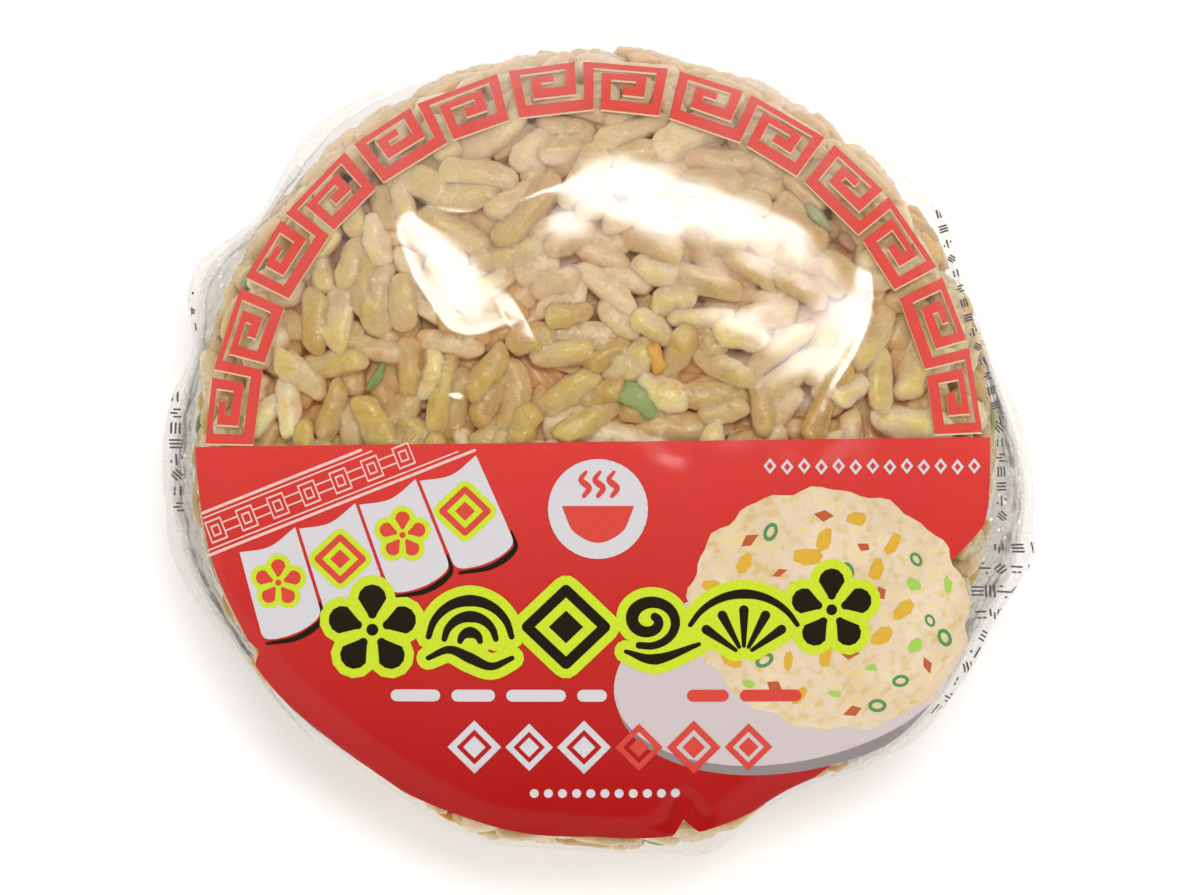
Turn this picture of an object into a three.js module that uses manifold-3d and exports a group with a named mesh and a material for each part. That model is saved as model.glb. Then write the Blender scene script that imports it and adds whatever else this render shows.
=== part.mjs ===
// A round ball of fried rice, sealed in a clear film pack that lies on its back.
// Millimetres, +Z up. The front of the pack faces up and its top points along +Y.
// One closed solid: the film's outer form, with the grains that press out against it.

import * as THREE from 'three';
import { mergeVertices } from 'three/addons/utils/BufferGeometryUtils.js';
import Module from 'manifold-3d';

// Rice ball and film
const PACK_RADIUS = 41.6;       // film drawn tight round the rice
const PACK_THICKNESS = 32;
const FOLD_HEIGHT = 15;        // where the film reaches furthest out
const REST_DEPTH = 0.9;        // how much of the round back is pressed flat underneath
const FACE_SQUARENESS = 6;     // exponent of the front's section, flat face and tight shoulder
const FACE_ROUNDNESS = 2.3;
const BACK_SQUARENESS = 4.4;   // the same of the back, which is rounder
const BACK_ROUNDNESS = 2.1;
const SWELL_FALLOFF = 14;      // how soon a loose fold dies away from the film's outermost line

// Where the film stands away from the rice: its two folded ends at the left and right,
// and the small pleats between them. Angles run counterclockwise from the right, in degrees.
const FILM_FOLDS = [
  { name: 'right end, lower corner', at: 321, spread: 18, reach: 2.4 },
  { name: 'right end, upper corner', at: 348, spread: 29, reach: 3.7 },
  { name: 'upper right pleat', at: 36, spread: 16, reach: 0.9 },
  { name: 'top', at: 84, spread: 15, reach: 0.5 },
  { name: 'upper left pleat', at: 127, spread: 20, reach: 1.7 },
  { name: 'left end, upper corner', at: 156, spread: 12, reach: 2.6 },
  { name: 'left end, lower corner', at: 187, spread: 30, reach: 2.4 },
  { name: 'lower left, drawn in', at: 235, spread: 22, reach: -1.5 },
  { name: 'bottom, drawn in', at: 266, spread: 14, reach: -0.8 },
  { name: 'bottom pleat', at: 286, spread: 8, reach: 1 },
  { name: 'lower right, drawn in', at: 299, spread: 12, reach: -1.3 },
];

// Cooked short rice grains
const GRAIN_LENGTH = 7.6;
const GRAIN_WIDTH = 3.2;
const GRAIN_THICKNESS = 2.6;
const GRAIN_PROUD = 1;         // how far the grains stand out of the rice between them
const GRAIN_SIZE_SPREAD = 0.16;
const FACE_GRAIN_SPACING = 4.5;
const FACE_GRAIN_LIMIT = 34;   // radius where the face's grains give way to the side's
const SIDE_GRAIN_SPACING = 7.3;
const GRAIN_ROWS = [1.07, 1.22, 1.38, 1.55, 1.76];  // polar angles, shoulder to back

// Where the film is printed, or stands away from the rice, no grains show.
const PRINT_LINE = 0.6;        // y below which the front is printed
const PRINT_LIMIT = 1.3;       // polar angle of the print's outer edge
const BARE_BACK = 1.85;        // polar angle beyond which the back is pressed smooth
const LOOSE_FILM = 1.4;        // how far out a fold reaches where it leaves the rice
const EDGE_SOFTNESS = 0.15;

// Mesh fineness
const SEGMENTS_ACROSS = 34;    // from the left end to the right end
const SEGMENTS_ROUND = 40;     // over the front and back
const GRAIN_SIDES = 5;
const GRAIN_RINGS = 3;
const FLAT_SIDE_UP = Math.PI / 2 / GRAIN_SIDES;

// One seeded stream of random numbers between 0 and 1, the same on every run.
function randomStream(seed) {
  let state = seed;
  return () => {
    state = (state + 0x6d2b79f5) | 0;
    let mixed = Math.imul(state ^ (state >>> 15), 1 | state);
    mixed = (mixed + Math.imul(mixed ^ (mixed >>> 7), 61 | mixed)) ^ mixed;
    return ((mixed ^ (mixed >>> 14)) >>> 0) / 4294967296;
  };
}

// How far the film stands out beyond the tight wrap in one direction.
function swell(azimuth) {
  let reach = 0;
  for (const fold of FILM_FOLDS) {
    const away = THREE.MathUtils.radToDeg(azimuth) - fold.at;
    const turn = Math.abs(THREE.MathUtils.euclideanModulo(away + 180, 360) - 180);
    if (turn < fold.spread) {
      reach += fold.reach * 0.5 * (1 + Math.cos(Math.PI * turn / fold.spread));
    }
  }
  return reach;
}

// A point of the film's surface. polar runs from 0 at the middle of the front, over the
// fold line at 90 degrees, to 180 degrees underneath. Each half's section is a superellipse.
function filmPoint(polar, azimuth) {
  const out = Math.abs(Math.sin(polar));
  const radius = out * (PACK_RADIUS + swell(azimuth) * out ** SWELL_FALLOFF);
  const front = Math.cos(polar) >= 0;
  const squareness = front ? FACE_SQUARENESS : BACK_SQUARENESS;
  const roundness = front ? FACE_ROUNDNESS : BACK_ROUNDNESS;
  const rise = (1 - out ** squareness) ** (1 / roundness);
  const height = front
    ? FOLD_HEIGHT + (PACK_THICKNESS - FOLD_HEIGHT) * rise
    : Math.max(FOLD_HEIGHT - (FOLD_HEIGHT + REST_DEPTH) * rise, 0);
  return new THREE.Vector3(radius * Math.cos(azimuth), radius * Math.sin(azimuth), height);
}

// The film's outward direction, from two short steps along the surface.
function filmNormal(polar, azimuth) {
  const step = 0.01;
  const before = Math.max(polar - step, 0);
  const down = filmPoint(polar + step, azimuth).sub(filmPoint(before, azimuth));
  const along = filmPoint(polar, azimuth + step).sub(filmPoint(polar, azimuth - step));
  return down.cross(along).normalize();
}

// 1 where the rice's grains show through clear, tight film, and 0 where they don't.
function clearness(polar, azimuth) {
  const { smoothstep } = THREE.MathUtils;
  const { y } = filmPoint(polar, azimuth);
  const abovePrint = smoothstep(y, PRINT_LINE, PRINT_LINE + GRAIN_WIDTH);
  const pastPrint = smoothstep(polar, PRINT_LIMIT, PRINT_LIMIT + EDGE_SOFTNESS);
  const onBack = smoothstep(polar, BARE_BACK, BARE_BACK + EDGE_SOFTNESS);
  const standsOff = swell(azimuth) * Math.sin(polar) ** SWELL_FALLOFF;
  const loose = smoothstep(standsOff, LOOSE_FILM, LOOSE_FILM + 1);
  return Math.max(abovePrint, pastPrint) * (1 - onBack) * (1 - loose);
}

// A point of the rice under the film, sunk where its grains reach up to the film.
function ricePoint(polar, azimuth) {
  const sunk = filmNormal(polar, azimuth).multiplyScalar(GRAIN_PROUD * clearness(polar, azimuth));
  return filmPoint(polar, azimuth).sub(sunk);
}

// A sphere, its poles at the pack's left and right ends, with its vertices moved onto the
// film, or onto the rice where that shows.
function filmGeometry() {
  const geometry = new THREE.SphereGeometry(1, SEGMENTS_ROUND, SEGMENTS_ACROSS);
  geometry.rotateZ(Math.PI / 2);
  const position = geometry.attributes.position;
  const direction = new THREE.Vector3();
  for (let i = 0; i < position.count; i += 1) {
    direction.fromBufferAttribute(position, i);
    const polar = Math.acos(THREE.MathUtils.clamp(direction.z, -1, 1));
    const point = ricePoint(polar, Math.atan2(direction.y, direction.x));
    position.setXYZ(i, point.x, point.y, point.z);
  }
  return geometry;
}

// One grain, lying in the film's surface at a random turn and pressed into it.
function grainGeometry(polar, azimuth, random) {
  const size = 1 + GRAIN_SIZE_SPREAD * (2 * random() - 1);
  const length = GRAIN_LENGTH * size;
  const thickness = GRAIN_THICKNESS * size;
  const normal = filmNormal(polar, azimuth);
  const turn = new THREE.Quaternion().setFromAxisAngle(normal, Math.PI * random());
  const along = new THREE.Vector3(-Math.sin(azimuth), Math.cos(azimuth), 0);
  along.addScaledVector(normal, -along.dot(normal)).normalize().applyQuaternion(turn);
  const across = new THREE.Vector3().crossVectors(along, normal);
  const centre = ricePoint(polar, azimuth);
  centre.addScaledVector(normal, GRAIN_PROUD * (0.75 + 0.35 * random()) - thickness / 2);

  const geometry = new THREE.SphereGeometry(0.5, GRAIN_SIDES, GRAIN_RINGS);
  geometry.rotateY(FLAT_SIDE_UP);
  geometry.scale(GRAIN_WIDTH * size, length, thickness);
  geometry.applyMatrix4(new THREE.Matrix4().makeBasis(across, along, normal));
  geometry.translate(centre.x, centre.y, centre.z);
  return geometry;
}

// Grains over the clear half of the front, on an even spiral.
function faceGrains(random) {
  const grains = [];
  const goldenAngle = Math.PI * (3 - Math.sqrt(5));
  const count = Math.floor(Math.PI * (FACE_GRAIN_LIMIT / FACE_GRAIN_SPACING) ** 2);
  for (let i = 0; i < count; i += 1) {
    const radius = FACE_GRAIN_LIMIT * Math.sqrt((i + 0.5) / count);
    const azimuth = i * goldenAngle;
    const polar = Math.asin(radius / PACK_RADIUS);
    if (clearness(polar, azimuth) === 1) {
      grains.push(grainGeometry(polar, azimuth, random));
    }
  }
  return grains;
}

// Grains round the side, in staggered rows, where the film is tight on the rice.
function sideGrains(random) {
  const grains = [];
  const count = Math.round(2 * Math.PI * PACK_RADIUS / SIDE_GRAIN_SPACING);
  GRAIN_ROWS.forEach((polar, row) => {
    for (let i = 0; i < count; i += 1) {
      const azimuth = 2 * Math.PI * (i + 0.5 * (row % 2) + 0.3 * random()) / count;
      if (clearness(polar, azimuth) === 1) {
        grains.push(grainGeometry(polar, azimuth, random));
      }
    }
  });
  return grains;
}

// A closed solid from a geometry whose vertices are shared by position alone.
function solidOf(wasm, geometry) {
  geometry.deleteAttribute('normal');
  geometry.deleteAttribute('uv');
  const merged = mergeVertices(geometry, 1e-5);
  return new wasm.Manifold(new wasm.Mesh({
    numProp: 3,
    vertProperties: new Float32Array(merged.attributes.position.array),
    triVerts: new Uint32Array(merged.index.array),
  }));
}

// The geometry of a finished solid.
function geometryOf(solid) {
  const mesh = solid.getMesh();
  const geometry = new THREE.BufferGeometry();
  geometry.setAttribute('position', new THREE.BufferAttribute(mesh.vertProperties, 3));
  geometry.setIndex(new THREE.BufferAttribute(mesh.triVerts, 1));
  geometry.computeVertexNormals();
  return geometry;
}

// The pack: film form and grains in one, with its origin under the middle of its box.
function packMesh(wasm) {
  const random = randomStream(7);
  let solid = solidOf(wasm, filmGeometry());
  for (const grain of [...faceGrains(random), ...sideGrains(random)]) {
    solid = solid.add(solidOf(wasm, grain));
  }
  const geometry = geometryOf(solid);
  geometry.computeBoundingBox();
  const middle = geometry.boundingBox.getCenter(new THREE.Vector3());
  geometry.translate(-middle.x, -middle.y, -geometry.boundingBox.min.z);

  const film = new THREE.MeshStandardMaterial({ color: 0xd9b877, roughness: 0.25, metalness: 0 });
  const mesh = new THREE.Mesh(geometry, film);
  mesh.name = 'wrapped_rice_ball';
  return mesh;
}

const wasm = await Module();
wasm.setup();
const pack = new THREE.Group();
pack.add(packMesh(wasm));

export default pack;
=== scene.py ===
# A round ball of fried rice in a clear film pack with a printed front, lying on its back.
# The row frame is in metres. Shapes are worked out in millimetres about the middle of the
# front's print, and place() takes them to the row frame.

import math
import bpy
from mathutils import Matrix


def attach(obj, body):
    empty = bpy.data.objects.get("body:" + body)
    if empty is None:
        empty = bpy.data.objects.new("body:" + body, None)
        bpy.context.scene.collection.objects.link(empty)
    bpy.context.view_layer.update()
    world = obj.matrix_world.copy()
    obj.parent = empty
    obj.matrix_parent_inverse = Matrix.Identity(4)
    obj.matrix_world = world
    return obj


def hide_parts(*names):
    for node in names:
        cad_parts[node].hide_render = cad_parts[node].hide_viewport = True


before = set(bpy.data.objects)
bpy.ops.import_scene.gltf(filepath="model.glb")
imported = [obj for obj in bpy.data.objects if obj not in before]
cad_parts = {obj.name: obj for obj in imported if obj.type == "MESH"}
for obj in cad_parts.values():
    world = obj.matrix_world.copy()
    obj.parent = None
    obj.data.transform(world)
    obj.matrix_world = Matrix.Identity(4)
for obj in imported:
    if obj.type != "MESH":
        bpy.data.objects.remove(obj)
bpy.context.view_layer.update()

from types import SimpleNamespace

import bmesh
import bpy
import numpy as np
from mathutils import Vector, noise
from mathutils.geometry import delaunay_2d_cdt
from mathutils.kdtree import KDTree

NODE = "wrapped_rice_ball"
BODY = "root"
MM = 0.001
GRAIN_SEED, BUMP_SEED, FILM_SEED, PRINT_SEED = 11, 1, 5, 3

# Photograph: its frame in pixels, the middle of the round print in it, and its scale
PHOTO_SIZE = (1200, 895)
PHOTO_MIDDLE = (594, 450)
PIXELS_PER_MM = 9.9

# The pack, as its solid has it
PACK_RADIUS = 41.6
PACK_THICKNESS = 32.0
FOLD_HEIGHT = 15.0
REST_DEPTH = 0.9
FACE_SQUARENESS, FACE_ROUNDNESS = 6.0, 2.3
BACK_SQUARENESS, BACK_ROUNDNESS = 4.4, 2.1
SWELL_FALLOFF = 14
FILM_FOLDS = (  # angle counterclockwise from the right, spread in degrees, reach
    (321, 18, 2.4), (348, 29, 3.7), (36, 16, 0.9), (84, 15, 0.5),
    (127, 20, 1.7), (156, 12, 2.6), (187, 30, 2.4), (235, 22, -1.5),
    (266, 14, -0.8), (286, 8, 1.0), (299, 12, -1.3),
)


# ---------------------------------------------------------------- points and forms

def spun(radius, angle, *height):
    """Points at a radius and an angle in radians, with a height where they have one."""
    return np.stack([radius * np.cos(angle), radius * np.sin(angle), *height], axis=-1)


def crossed(first, second):
    return np.meshgrid(first, second, indexing="ij")


def unit(vector):
    return vector / np.linalg.norm(vector)


def swell(azimuth):
    """How far the film stands out beyond the tight wrap in one direction, in radians."""
    reach = np.zeros_like(azimuth)
    for at, spread, most in FILM_FOLDS:
        turn = np.abs((np.degrees(azimuth) - at + 180) % 360 - 180)
        rise = 0.5 * (1 + np.cos(math.pi * turn / spread))
        reach += np.where(turn < spread, most * rise, 0)
    return reach


def front_rise(out):
    """Height of the front above the fold line, out running from 0 at the middle to 1."""
    shape = np.clip(1 - out ** FACE_SQUARENESS, 0, 1) ** (1 / FACE_ROUNDNESS)
    return (PACK_THICKNESS - FOLD_HEIGHT) * shape


def back_drop(out):
    """Depth of the back below the fold line."""
    shape = np.clip(1 - out ** BACK_SQUARENESS, 0, 1) ** (1 / BACK_ROUNDNESS)
    return np.minimum((FOLD_HEIGHT + REST_DEPTH) * shape, FOLD_HEIGHT)


def pack_form(polar, azimuth, beyond):
    """Points of a smooth form whose edge stands so far beyond the tight wrap. polar is 0 at
    the middle of the front and pi underneath."""
    out = np.abs(np.sin(polar))
    height = FOLD_HEIGHT + np.where(np.cos(polar) >= 0, front_rise(out), -back_drop(out))
    return spun(out * (PACK_RADIUS + beyond * out ** SWELL_FALLOFF), azimuth, height)


def film_form(polar, azimuth, loose=1.0):
    return pack_form(polar, azimuth, loose * swell(azimuth))


def rice_form(polar, azimuth):
    """The rice ball itself, which fills the film where that is tight."""
    return pack_form(polar, azimuth, np.minimum(swell(azimuth), 0))


def form_frame(form, polar, azimuth, step=0.004):
    """Points of a form with their outward directions."""
    lower = form(polar + step, azimuth) - form(polar - step, azimuth)
    along = form(polar, azimuth + step) - form(polar, azimuth - step)
    normal = np.cross(lower, along)
    return form(polar, azimuth), normal / np.linalg.norm(normal, axis=-1, keepdims=True)


def out_at(x, y):
    """How far out along the front's section a point seen from above lies, 0 to 1."""
    radius = np.hypot(x, y)
    reach = swell(np.arctan2(y, x))
    low, high = np.zeros_like(radius), np.ones_like(radius)
    for _ in range(24):
        middle = (low + high) / 2
        short = middle * (PACK_RADIUS + reach * middle ** SWELL_FALLOFF) < radius
        low, high = np.where(short, middle, low), np.where(short, high, middle)
    return (low + high) / 2


def outline_middle():
    """Middle of the film's box, seen from above."""
    azimuth = np.linspace(0, 2 * math.pi, 720, endpoint=False)
    edge = film_form(np.full_like(azimuth, math.pi / 2), azimuth)
    return (edge.min(axis=0) + edge.max(axis=0))[:2] / 2


MIDDLE_X, MIDDLE_Y = outline_middle()


def place(points):
    """Millimetres about the print's middle to metres in the row frame."""
    return (np.asarray(points) - (MIDDLE_X, MIDDLE_Y, 0)) * MM


def from_photo(pixels):
    """Pixels of the photograph as millimetres from the print's middle."""
    return (np.asarray(pixels, dtype=float) - PHOTO_MIDDLE) * (1, -1) / PIXELS_PER_MM


# ---------------------------------------------------------------- camera and light

CAMERA_DISTANCE = 1.5
LIGHT_DISTANCE = 0.9
LIGHTS = (  # name, tilts off the vertical to +X and +Y in degrees, size, power
    ("key", 5.5, 15.5, (0.42, 0.25), 4.0),
    ("fill_left", -62, 4, (0.6, 0.6), 2.1),
    ("fill_right", 62, 4, (0.6, 0.6), 2.1),
    ("fill_top", 0, 64, (0.8, 0.5), 1.1),
    ("fill_low", 0, -62, (0.8, 0.5), 1.9),
)


def in_scene(item):
    bpy.context.scene.collection.objects.link(item)
    return item


def make_camera():
    """Straight above the front, far off, so that the pack is as large as in the photograph."""
    data = bpy.data.cameras.new("camera")
    data.sensor_width = 36
    width = PHOTO_SIZE[0] / PIXELS_PER_MM * MM
    data.lens = data.sensor_width * CAMERA_DISTANCE / width
    camera = in_scene(bpy.data.objects.new("camera", data))
    x, y = from_photo(np.array(PHOTO_SIZE) / 2)
    camera.location = Vector(place((x, y, PACK_THICKNESS))) + Vector((0, 0, CAMERA_DISTANCE))
    bpy.context.scene.camera = camera


def make_lights():
    """Soft rectangles of light and an even world. Gloss mirrors the key alone."""
    for name, tilt_x, tilt_y, size, power in LIGHTS:
        data = bpy.data.lights.new(name, "AREA")
        data.shape = "RECTANGLE"
        data.size, data.size_y = size
        data.energy = power
        light = in_scene(bpy.data.objects.new(name, data))
        towards = Vector((math.tan(math.radians(tilt_x)), math.tan(math.radians(tilt_y)), 1))
        towards.normalize()
        light.location = Vector((0, 0, PACK_THICKNESS * MM)) + towards * LIGHT_DISTANCE
        light.rotation_euler = towards.to_track_quat("Z", "Y").to_euler()
        light.visible_glossy = name == "key"
    world = bpy.data.worlds.new("world")
    world.use_nodes = True
    background = world.node_tree.nodes["Background"]
    background.inputs["Color"].default_value = (1, 1, 1, 1)
    background.inputs["Strength"].default_value = 0.5
    world.cycles_visibility.glossy = False
    bpy.context.scene.world = world
    bpy.context.scene.view_settings.view_transform = "Standard"


# ---------------------------------------------------------------- materials

class Nodes:
    """A material's node tree, with short ways to add and join nodes."""

    def __init__(self, name):
        self.material = bpy.data.materials.new(name)
        self.material.use_nodes = True
        self.tree = self.material.node_tree
        self.tree.nodes.clear()

    def add(self, kind, inputs, output=0, **settings):
        """A node's output. Its inputs are numbers, colours or other nodes' outputs."""
        node = self.tree.nodes.new("ShaderNode" + kind)
        for key, value in settings.items():
            setattr(node, key, value)
        for key, value in inputs.items():
            socket = node.inputs[key]
            if isinstance(value, bpy.types.NodeSocket):
                self.tree.links.new(value, socket)
            else:
                socket.default_value = (*value, 1) if socket.type == "RGBA" else value
        return node.outputs[output]

    def finish(self, shader):
        output = self.tree.nodes.new("ShaderNodeOutputMaterial")
        self.tree.links.new(shader, output.inputs["Surface"])
        return self.material

    def position(self):
        return self.add("TexCoord", {}, "Object")

    def up_front(self):
        """How far up the front a point lies, in metres."""
        return self.add("SeparateXYZ", {"Vector": self.position()}, "Y")

    def attribute(self, name):
        return self.add("Attribute", {}, "Fac", attribute_name=name)

    def noise(self, scale, detail=3.0, roughness=0.5):
        """Noise over the object, with so many features to the metre."""
        return self.add("TexNoise", {"Scale": scale, "Detail": detail, "Roughness": roughness,
                                     "Vector": self.position()}, "Fac")

    def ramp(self, source, *stops):
        """A colour ramp of (position, colour) stops, read from a value."""
        colour = self.add("ValToRGB", {"Fac": source})
        elements = colour.node.color_ramp.elements
        while len(elements) < len(stops):
            elements.new(0.5)
        for element, (position, own) in zip(elements, stops):
            element.position = position
            element.color = (*own, 1)
        return colour

    def spread(self, source, low, high, to_low, to_high):
        """A value's range moved onto another range, clamped."""
        return self.add("MapRange", {"Value": source, "From Min": low, "From Max": high,
                                     "To Min": to_low, "To Max": to_high}, "Result")

    def mix(self, amount, first, second, **settings):
        """One colour into another by a value."""
        return self.add("Mix", {"Factor": amount, 6: first, 7: second}, 2,
                        data_type="RGBA", **settings)

    def multiply(self, amount, first, second):
        """One colour times another, by so much."""
        return self.mix(amount, first, second, blend_type="MULTIPLY")

    def maths(self, operation, first, second):
        return self.add("Math", {0: first, 1: second}, operation=operation)

    def blend(self, amount, first, second):
        """One shader into another."""
        return self.add("MixShader", {"Fac": amount, 1: first, 2: second})

    def bump(self, source, distance, **inputs):
        """A bump of so many millimetres."""
        return self.add("Bump", {"Height": source, "Distance": distance * MM, **inputs})


def linear(red, green, blue):
    """A colour read off a screen, 0 to 255, as Blender's linear values."""
    def one(value):
        part = value / 255
        return part / 12.92 if part <= 0.04045 else ((part + 0.055) / 1.055) ** 2.4
    return one(red), one(green), one(blue)


WHITE = (1, 1, 1)
FILM_GLOSS = (  # how far the film is seen aslant, and the part of the light it mirrors
    (0, 0.078), (0.05, 0.078), (0.15, 0.032), (0.25, 0.014), (0.6, 0.012), (0.85, 0.03), (1, 0.06),
)
MATT_INK = {"Roughness": 0.55, "Specular IOR Level": 0.0}
RICE_TINTS = ((190, 161, 106), (200, 177, 124), (208, 188, 144), (224, 209, 176), (197, 155, 114))
BIT_TINTS = {
    "green_onion": ((124, 150, 84), (158, 172, 108)),
    "egg": ((214, 158, 62), (226, 184, 92)),
    "roast_pork": ((140, 84, 54), (168, 112, 76)),
}


def film_material():
    """Clear film: mostly see-through, a mirror gloss, and a faint milky veil in patches."""
    n = Nodes("clear_film")
    ripple = n.bump(n.noise(2800, detail=4, roughness=0.7), 0.004)
    clear = n.add("BsdfTransparent", {"Color": (0.975, 0.975, 0.97)})
    gloss = n.add("BsdfGlossy", {"Roughness": 0.17, "Normal": ripple}, distribution="BECKMANN")
    milk = {"Color": (0.97, 0.94, 0.92)}
    veil = n.blend(0.5, n.add("BsdfDiffuse", milk), n.add("BsdfTranslucent", milk))
    above_print = n.spread(n.up_front(), -0.001, 0.040, 0.04, 1.35)
    patches = n.spread(n.noise(85, detail=2), 0.40, 0.70, 0.02, 0.13)
    creased = n.spread(n.noise(520, roughness=0.6), 0.38, 0.62, 0.06, 0.30)
    looser = n.maths("MULTIPLY", n.attribute("tint"), creased)
    milky = n.maths("MAXIMUM", n.maths("MULTIPLY", patches, above_print), looser)
    slant = n.add("LayerWeight", {"Blend": 0.5, "Normal": ripple}, "Facing")
    mirror = n.ramp(slant, *((at, (part,) * 3) for at, part in FILM_GLOSS))
    return n.finish(n.blend(mirror, n.blend(milky, clear, veil), gloss))


def ink_material(name, colour, mottle=0.06, painted_shade_colour=None):
    """Ink printed inside the film: matt and finely mottled. An optional painted shade darkens it
    towards the bottom of the front.
    """
    n = Nodes(name)
    darker = tuple(part * (1 - 3 * mottle) for part in colour)
    inked = n.mix(n.noise(2600, detail=2), darker, colour)
    if painted_shade_colour:
        # painted shade: the ink turns to a darker colour towards the bottom of the front, where less
        # light falls
        inked = n.mix(n.spread(n.up_front(), -0.040, 0.002, 0, 1), painted_shade_colour, inked)
    fine = n.bump(n.noise(1500), 0.01)
    return n.finish(n.add("BsdfPrincipled", {"Base Color": inked, "Normal": fine, **MATT_INK}))


def heap_ink_material():
    """The printed heap of rice: cream with fine pale and golden flecks."""
    n = Nodes("heap_ink")
    flecks = n.ramp(n.noise(900, detail=2, roughness=0.45), (0.30, linear(216, 190, 130)),
                    (0.43, linear(222, 201, 166)), (0.56, linear(226, 206, 184)),
                    (0.68, linear(228, 206, 146)))
    wide = n.ramp(n.noise(160, detail=2), (0.4, (0.90, 0.84, 0.76)), (0.6, WHITE))
    colour = n.multiply(0.7, flecks, wide)
    return n.finish(n.add("BsdfPrincipled", {"Base Color": colour, **MATT_INK}))


def food_material(name, tints, weight=1.0, roughness=0.30, grain=0.16):
    """Moist food: each bit takes its tint from the mesh's own "tint" value, with fine mottling.
    Where its "contact" value says that it sticks to the film it is clearer and yellower, and where its
    "deep" value says that it lies in a gap it is painted brighter and warmer: painted light that lifts
    the shade in the gaps."""
    n = Nodes(name)
    stops = [(i / (len(tints) - 1), linear(*tint)) for i, tint in enumerate(tints)]
    own = n.ramp(n.attribute("tint"), *stops)
    shade = n.spread(n.noise(420, detail=5, roughness=0.6), 0.34, 0.64, 0, 1)
    shade = n.ramp(shade, (0, (0.86, 0.73, 0.50)), (0.5, (0.96, 0.93, 0.85)), (1, WHITE))
    stuck = n.ramp(n.attribute("contact"), (0, (0.98, 0.93, 0.93)), (1, (1.0, 0.98, 0.70)))
    mottled = n.multiply(1.0, n.multiply(0.8, own, shade), stuck)
    # painted light: rice deep in the gaps takes a brighter, warmer colour in place of the light that
    # the gaps lack
    painted_gap_light = n.mix(n.attribute("deep"), mottled, linear(232, 180, 122))
    misted = n.spread(n.up_front(), 0.010, 0.036, 0, 0.5)
    fine = n.bump(n.noise(3200, detail=2), grain * 0.35)
    return n.finish(n.add("BsdfPrincipled", {
        "Base Color": n.mix(misted, painted_gap_light, linear(226, 200, 176)),
        "Subsurface Weight": weight,
        "Subsurface Radius": (1.0, 0.62, 0.38),
        "Subsurface Scale": 2.2 * MM,
        "Roughness": n.spread(n.noise(1500), 0.35, 0.65, roughness - 0.14, roughness + 0.14),
        "Specular IOR Level": 0.5,
        "Normal": n.bump(n.noise(1100, detail=4, roughness=0.6), grain, Normal=fine),
    }))


def floor_material():
    n = Nodes("floor")
    return n.finish(n.add("BsdfPrincipled", {
        "Base Color": n.mix(n.noise(30), (0.93, 0.93, 0.93), (0.95, 0.95, 0.95)),
        "Roughness": 0.9,
        "Specular IOR Level": 0.1,
        "Emission Color": WHITE,
        "Emission Strength": 0.12,
    }))


# ---------------------------------------------------------------- mesh tools

def mesh_object(name, points, faces):
    mesh = bpy.data.meshes.new(name)
    mesh.from_pydata(np.asarray(points).tolist(), [], [[int(i) for i in face] for face in faces])
    return bpy.data.objects.new(name, mesh)


def make_piece(name, points, faces, material, slot, **values):
    """A piece of the pack from points in millimetres, with named values for each point. It
    rides with the pack's solid."""
    piece = in_scene(mesh_object(name, place(points), faces))
    for key, value in values.items():
        attribute = piece.data.attributes.new(key, "FLOAT", "POINT")
        attribute.data.foreach_set("value", np.asarray(value, dtype=np.float32))
    piece.data.validate()
    piece.data.polygons.foreach_set("use_smooth", [True] * len(piece.data.polygons))
    piece.data.materials.append(material)
    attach(piece, BODY)
    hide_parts(NODE)
    return piece


def grid_faces(rows, columns, closed=True):
    """Quads between rows of points, each row running round and joining up where closed."""
    faces = []
    for row in range(rows - 1):
        for column in range(columns if closed else columns - 1):
            after = (column + 1) % columns
            here, there = row * columns, (row + 1) * columns
            faces.append((here + column, there + column, there + after, here + after))
    return faces


def repeated(faces, times, points_each):
    """The faces of one shape for several shapes whose points follow each other."""
    return np.concatenate([np.array(faces) + i * points_each for i in range(times)])


def closed_grid(rings, sides):
    """Faces of a closed shape whose first and last rings are single points."""
    faces = [(0, 1 + (i + 1) % sides, 1 + i) for i in range(sides)]
    for ring in range(rings - 3):
        for i in range(sides):
            here, after = 1 + ring * sides + i, 1 + ring * sides + (i + 1) % sides
            faces.append((here, after, after + sides, here + sides))
    last = 1 + (rings - 2) * sides
    faces += [(last, last - sides + i, last - sides + (i + 1) % sides) for i in range(sides)]
    return faces


def capped(rings):
    """A closed shape's points in order, its first and last rings drawn together."""
    return np.vstack([rings[0].mean(axis=0), rings[1:-1].reshape(-1, 3), rings[-1].mean(axis=0)])


def evaluated(piece):
    """A piece's points and faces with its modifiers applied."""
    mesh = piece.evaluated_get(bpy.context.evaluated_depsgraph_get()).to_mesh()
    points = np.empty(len(mesh.vertices) * 3)
    mesh.vertices.foreach_get("co", points)
    return points.reshape(-1, 3), [tuple(polygon.vertices) for polygon in mesh.polygons]


def joined(shapes):
    """The outer skin of closed shapes that overlap, as points and faces."""
    collection = bpy.data.collections.new("joined")
    bpy.context.scene.collection.children.link(collection)
    first, *others = [mesh_object("part", points, faces) for points, faces in shapes]
    in_scene(first)
    for part in others:
        collection.objects.link(part)
    union = first.modifiers.new("union", "BOOLEAN")
    union.operation = "UNION"
    union.solver = "MANIFOLD"
    union.operand_type = "COLLECTION"
    union.collection = collection
    points, faces = evaluated(first)
    for part in (first, *others):
        bpy.data.meshes.remove(part.data)
    bpy.data.collections.remove(collection)
    return largest_island(points, faces)


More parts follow.
